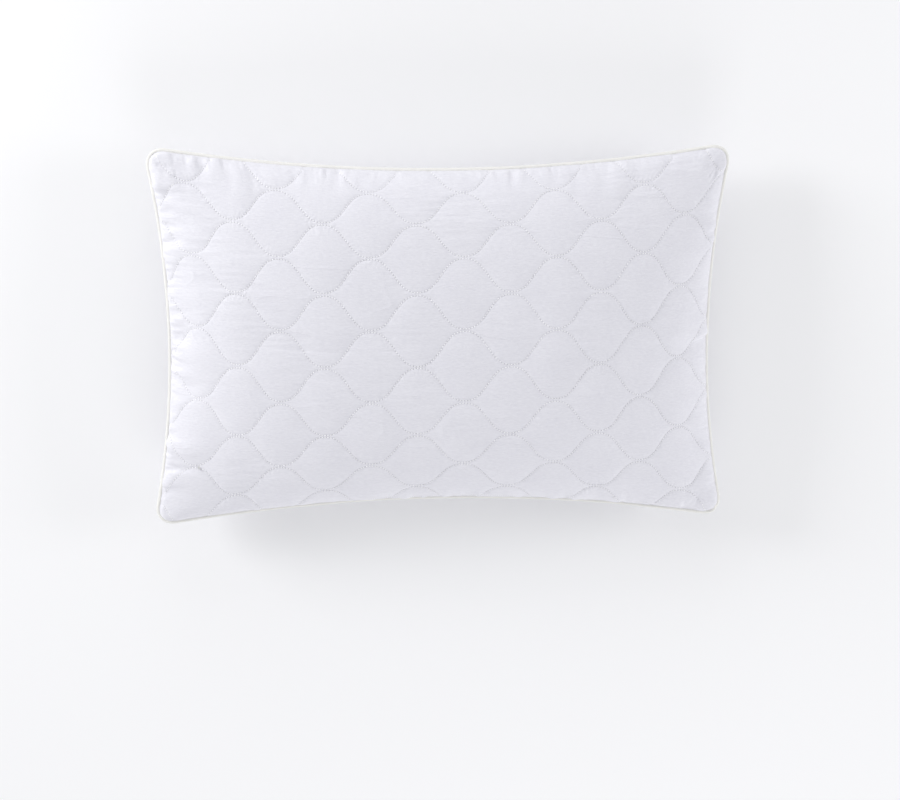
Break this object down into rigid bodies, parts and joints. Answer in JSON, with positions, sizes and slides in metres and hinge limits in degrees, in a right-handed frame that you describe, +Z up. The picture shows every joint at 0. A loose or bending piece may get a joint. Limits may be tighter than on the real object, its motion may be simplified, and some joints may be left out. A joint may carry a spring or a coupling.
{
  "type": "bed pillow",
  "caption": "Rectangular stuffed bed pillow with wave-quilted faces, corded knife edge and soft rounded corners, lying flat.",
  "frame": {"origin": "under the middle of the pillow, on the plane that it lies on", "axes": "+X along the long side; +Y along the short side; +Z up, out of the upper face"},
  "size_m": [0.7366, 0.4844, 0.1505],
  "materials": {
    "cover_cloth": "fine plain-weave cotton, matt with a faint sheen",
    "wadding": "lofted polyester wadding",
    "lining": "thin spun-bonded cloth",
    "thread": "twisted polyester sewing thread",
    "fibre": "loose hollow fibre",
    "cord": "twisted soft cotton cord",
    "piping_cloth": "bias-cut plain-weave cotton, matt",
    "edging_thread": "looped overlocking thread"
  },
  "bodies": {
    "root": {"top_cover_panel": "cover_cloth", "top_wadding": "wadding", "top_lining": "lining", "top_quilting_thread": "thread", "bottom_cover_panel": "cover_cloth", "bottom_wadding": "wadding", "bottom_lining": "lining", "bottom_quilting_thread": "thread", "fibre_filling": "fibre", "piping_cord": "cord", "piping_tape": "piping_cloth", "seam_thread": "thread", "overlock_edging": "edging_thread", "closing_stitch": "thread"}
  },
  "joints": []
}
